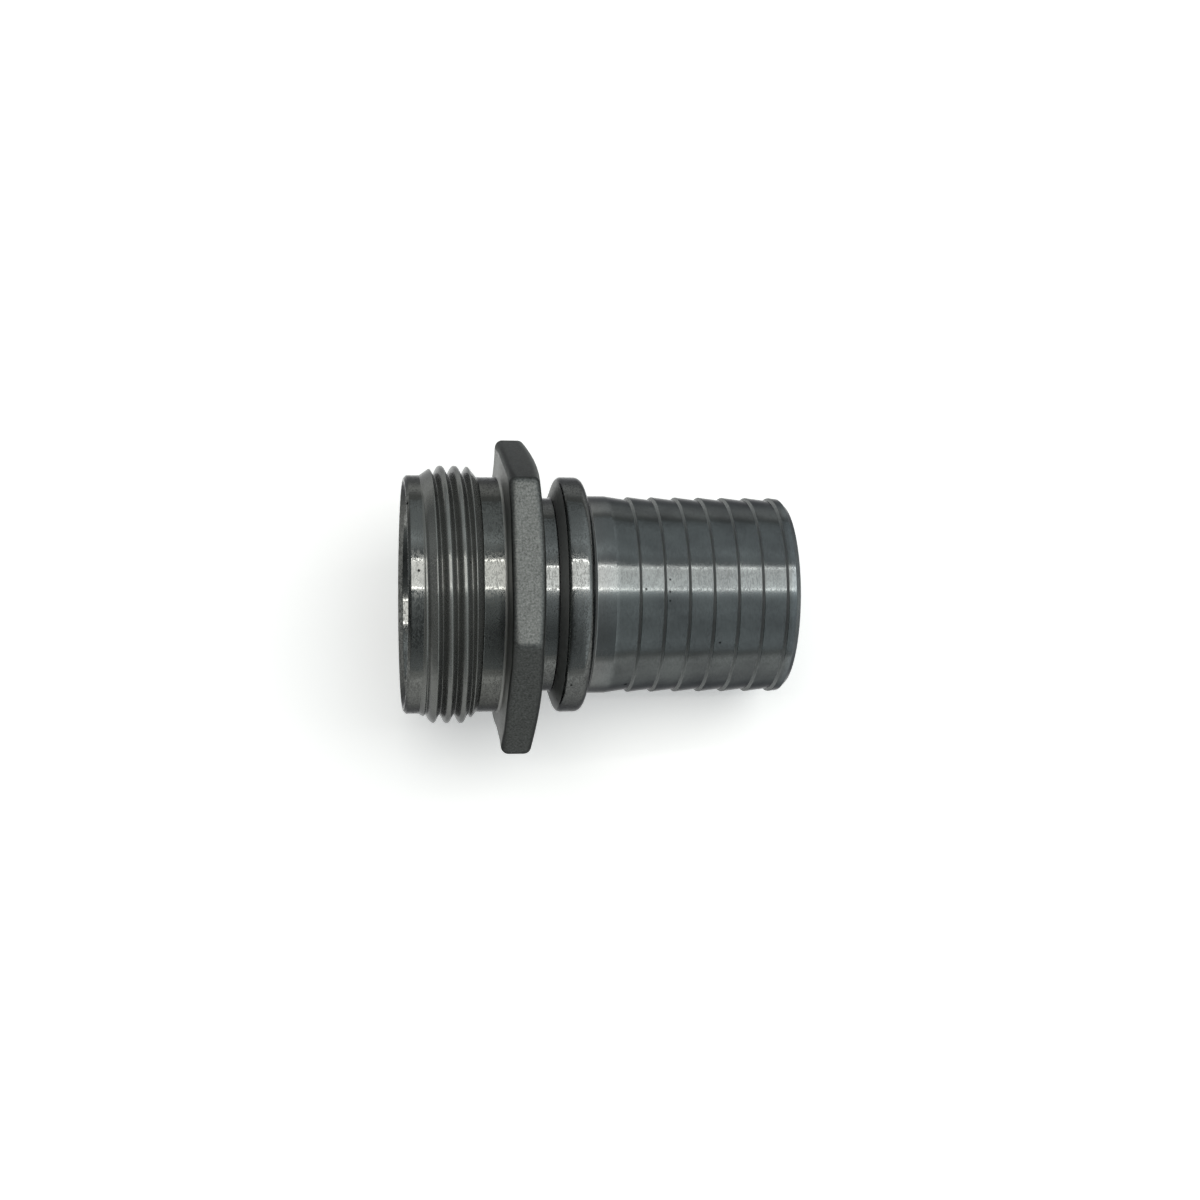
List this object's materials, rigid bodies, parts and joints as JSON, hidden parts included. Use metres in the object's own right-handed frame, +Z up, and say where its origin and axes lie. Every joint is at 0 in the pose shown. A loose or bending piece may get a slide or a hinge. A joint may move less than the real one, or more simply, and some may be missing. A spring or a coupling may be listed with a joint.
{
  "type": "hose connector",
  "caption": "One-piece stainless steel hose connector with a male pipe thread, a hexagon, a clamp collar and a serrated tail for a push-on hose.",
  "frame": {"origin": "on the surface it rests on, under the middle of its bounding box", "axes": "+X towards the hose end and +Z up; the part's own axis lies in the XZ plane and slopes down 9.46 degrees towards +X, because it rests on an edge of the hexagon and the end of the tail"},
  "size_m": [0.0674, 0.0526, 0.0458],
  "materials": {
    "stainless": "turned stainless steel, with the hexagon as cast and blasted"
  },
  "bodies": {
    "root": {"hose_tail": "stainless"}
  },
  "joints": []
}
